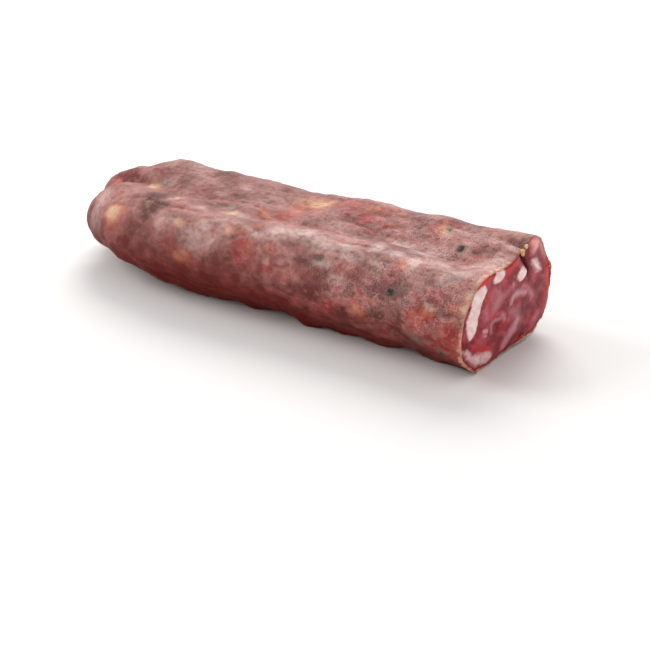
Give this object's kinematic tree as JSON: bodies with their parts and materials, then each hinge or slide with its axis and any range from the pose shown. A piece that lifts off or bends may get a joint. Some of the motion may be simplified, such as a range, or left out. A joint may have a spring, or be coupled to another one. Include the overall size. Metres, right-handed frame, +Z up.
{
  "type": "soppressata",
  "caption": "Piece of dry cured sausage, pressed flat on its underside, with one knife-cut end showing lean and fat and one rounded end with two lobes.",
  "frame": {"origin": "on the ground, under the middle of the piece's bounding box", "axes": "+X out of the cut end along the sausage, +Y towards the back lobe, +Z up from the flat underside"},
  "size_m": [0.1504, 0.047, 0.0316],
  "materials": {
    "cured_meat": "satin"
  },
  "bodies": {
    "root": {"soppressata": "cured_meat"}
  },
  "joints": []
}
